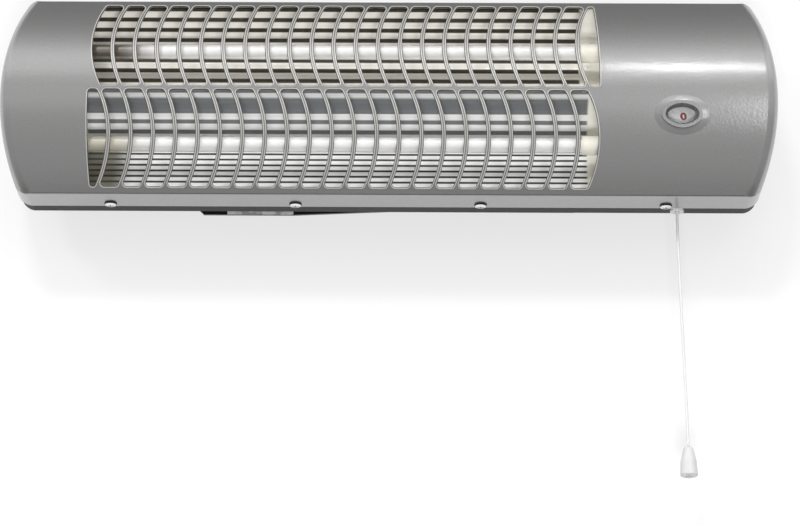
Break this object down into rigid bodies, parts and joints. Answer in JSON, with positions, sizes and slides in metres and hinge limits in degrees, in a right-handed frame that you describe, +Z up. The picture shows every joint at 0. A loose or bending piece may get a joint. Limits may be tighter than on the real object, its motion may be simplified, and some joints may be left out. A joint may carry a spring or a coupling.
{
  "type": "bathroom wall heater",
  "caption": "Wall heater with quartz tubes behind a slotted bowed front, on a tilting bracket, worked by a pull cord with an indicator window.",
  "frame": {"origin": "middle of the wall plate's back face, on the wall", "axes": "+X to the right as one faces the heater, -Y out of the wall into the room, +Z up"},
  "size_m": [0.525, 0.0862, 0.3301],
  "materials": {
    "silver_paint": "metallic silver-grey enamel with a fine orange peel",
    "casing_paint": "dark grey semi-matt",
    "black_paint": "black semi-gloss",
    "zinc_steel": "zinc-plated",
    "spring_steel": "drawn wire",
    "heating_wire": "oxidised resistance wire",
    "cutout_steel": "plated",
    "chrome_plate": "bright",
    "bezel_chrome": "bright rim, satin slope",
    "polished_aluminium": "polished, slightly warm",
    "milky_quartz": "milky",
    "clear_lens": "clear",
    "cream_ceramic": "unglazed steatite",
    "white_plastic": "matt",
    "natural_nylon": "translucent natural nylon",
    "black_plastic": "matt",
    "white_gloss": "glossy",
    "white_cord": "braided nylon",
    "brass": "plain",
    "lead_insulation": "silicone sleeve"
  },
  "bodies": {
    "bracket": {"wall_bracket": "black_paint", "pivot_bolts": "zinc_steel", "friction_washers": "natural_nylon", "lock_nuts": "zinc_steel"},
    "pull": {"pull_rod": "white_plastic", "pull_cord": "white_cord", "pull_knob": "white_gloss", "cord_knot": "white_cord"},
    "dial": {"indicator_dial": "white_plastic"},
    "heater": {"tilt_lugs": "black_paint", "lug_rivets": "zinc_steel", "rear_casing": "casing_paint", "front_cover": "silver_paint", "cover_screws": "chrome_plate", "reflector": "polished_aluminium", "reflector_cheek_left": "polished_aluminium", "reflector_cheek_right": "polished_aluminium", "quartz_tube_upper": "milky_quartz", "quartz_tube_lower": "milky_quartz", "heating_coil_upper": "heating_wire", "heating_coil_lower": "heating_wire", "ceramic_caps": "cream_ceramic", "window_bezel": "bezel_chrome", "window_lens": "clear_lens", "switch_housing": "black_plastic", "switch_bracket": "zinc_steel", "return_spring": "spring_steel", "cord_bush": "natural_nylon", "cable_gland": "black_plastic", "gland_nut": "black_plastic", "terminal_block": "white_plastic", "terminal_screws": "brass", "thermal_cutout": "cutout_steel", "earth_screw": "brass", "internal_wiring": "lead_insulation"}
  },
  "joints": [
    {"name": "tilt", "type": "hinge", "parent": "bracket", "child": "heater", "pos_m": [0, -0.018, 0], "axis": [1, 0, 0], "range_deg": [0, 30]},
    {"name": "pull", "type": "slide", "parent": "heater", "child": "pull", "axis": [0, 0, -1], "range_m": [0, 0.012], "stiffness_N_per_m": 250, "springref_m": -0.006, "deforming": ["return_spring"]},
    {"name": "indicator_turn", "type": "hinge", "parent": "heater", "child": "dial", "pos_m": [0.197, -0.0745, 0.014], "axis": [0, -1, 0], "continuous": true}
  ]
}
